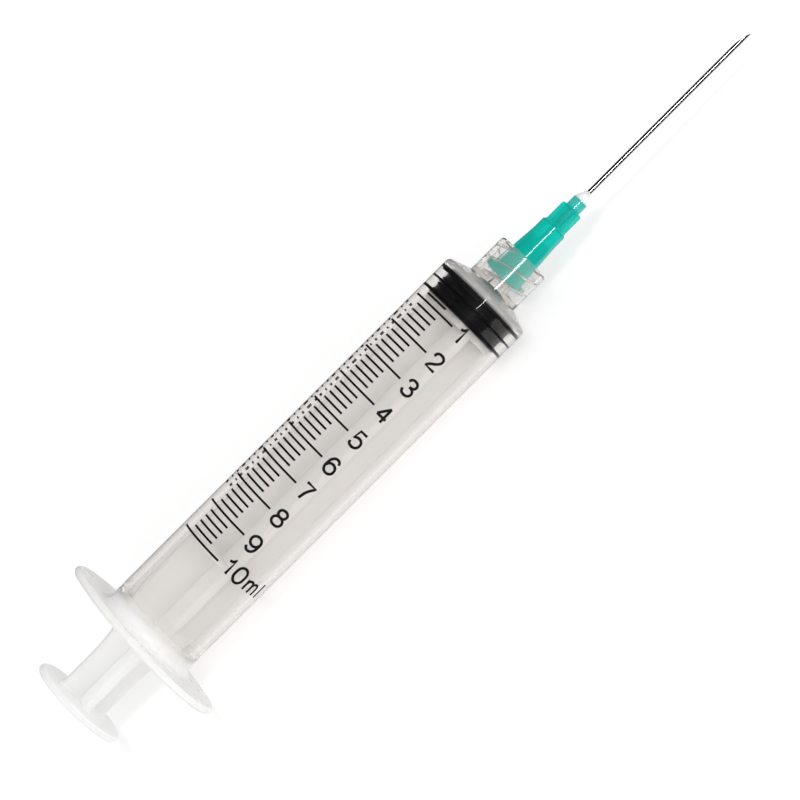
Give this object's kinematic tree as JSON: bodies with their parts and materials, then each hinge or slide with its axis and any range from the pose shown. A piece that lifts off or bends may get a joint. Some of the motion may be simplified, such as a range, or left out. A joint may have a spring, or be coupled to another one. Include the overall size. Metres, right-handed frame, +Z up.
{
  "type": "luer lock syringe",
  "caption": "Disposable syringe with a graduated clear barrel, finger wings, sliding plunger with rubber stopper, and a green-hubbed needle screwed into its lock collar.",
  "frame": {"origin": "on the barrel's axis at the zero line of the scale, where the stopper's front rib stands with the plunger pushed in", "axes": "+X along the barrel's axis towards the needle, Y along the finger wings, +Z up with the syringe lying on its flange and barrel"},
  "size_m": [0.1534, 0.0344, 0.022],
  "materials": {
    "clear_barrel": "frosted clear moulded polypropylene",
    "white_rod": "natural white moulded polypropylene",
    "black_rubber": "smooth black rubber, siliconised",
    "green_hub": "glossy green moulded polypropylene",
    "needle_steel": "polished drawn stainless tube",
    "clear_adhesive": "clear cured adhesive",
    "black_ink": "black printed ink"
  },
  "bodies": {
    "barrel": {"barrel": "clear_barrel"},
    "plunger": {"plunger_rod": "white_rod", "stopper": "black_rubber"},
    "needle": {"needle_hub": "green_hub", "needle_cannula": "needle_steel", "adhesive_bead": "clear_adhesive"}
  },
  "joints": [
    {"name": "plunger_slide", "type": "slide", "parent": "barrel", "child": "plunger", "axis": [-1, 0, 0], "range_m": [0, 0.0688]},
    {"name": "needle_release", "type": "slide", "parent": "barrel", "child": "needle", "axis": [1, 0, 0], "range_m": [0, 0.015]}
  ]
}
